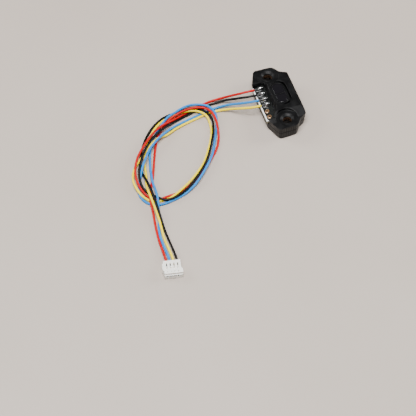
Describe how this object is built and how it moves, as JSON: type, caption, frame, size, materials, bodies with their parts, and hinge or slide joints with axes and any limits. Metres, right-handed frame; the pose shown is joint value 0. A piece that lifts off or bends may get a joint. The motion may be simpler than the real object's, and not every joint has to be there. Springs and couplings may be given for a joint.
{
  "type": "optical distance sensor module",
  "caption": "Small moulded housing with two screw ears, an oblong two-pane optical window, a row of solder pads, and a wire lead ending in a plug.",
  "frame": {"origin": "centre of the housing's flat back", "axes": "+Z out through the window, +Y along the housing from ear to ear, -X towards the solder pads and the lead"},
  "size_m": [0.0686, 0.0731, 0.0068],
  "materials": {
    "housing": "glossy black moulded plastic",
    "window": "dark infrared-pass window, polished",
    "board": "black solder mask over laminate",
    "gold": "gold-plated copper",
    "solder": "bright tinned metal",
    "chip": "moulded package",
    "ceramic": "fired ceramic",
    "rubber": "soft black gasket",
    "nylon": "white nylon and printed white line",
    "red": "flexible insulation",
    "black": "flexible insulation",
    "blue": "flexible insulation",
    "yellow": "flexible insulation"
  },
  "bodies": {
    "root": {"front_housing": "housing", "rear_housing": "housing", "window_frame": "housing", "emitter_window": "window", "receiver_window": "window", "circuit_board": "board", "board_edge_line": "nylon", "connector_housing": "nylon", "pad_1": "gold", "pad_2": "gold", "pad_3": "gold", "pad_4": "gold", "pad_5": "gold", "pad_6": "gold", "hole_plating_1": "gold", "hole_plating_2": "gold", "solder_joint_1": "solder", "solder_joint_2": "solder", "solder_joint_3": "solder", "solder_joint_4": "solder", "wire_end_1": "solder", "wire_end_2": "solder", "wire_end_3": "solder", "wire_end_4": "solder", "crimp_terminal_1": "solder", "crimp_terminal_2": "solder", "crimp_terminal_3": "solder", "crimp_terminal_4": "solder", "ranging_chip": "chip", "microcontroller": "chip", "voltage_regulator": "chip", "resistor_1": "chip", "resistor_2": "chip", "resistor_3": "chip", "resistor_4": "chip", "capacitor_1": "ceramic", "capacitor_2": "ceramic", "capacitor_3": "ceramic", "light_gasket": "rubber", "wire_red": "red", "wire_black": "black", "wire_blue": "blue", "wire_yellow": "yellow"}
  },
  "joints": []
}
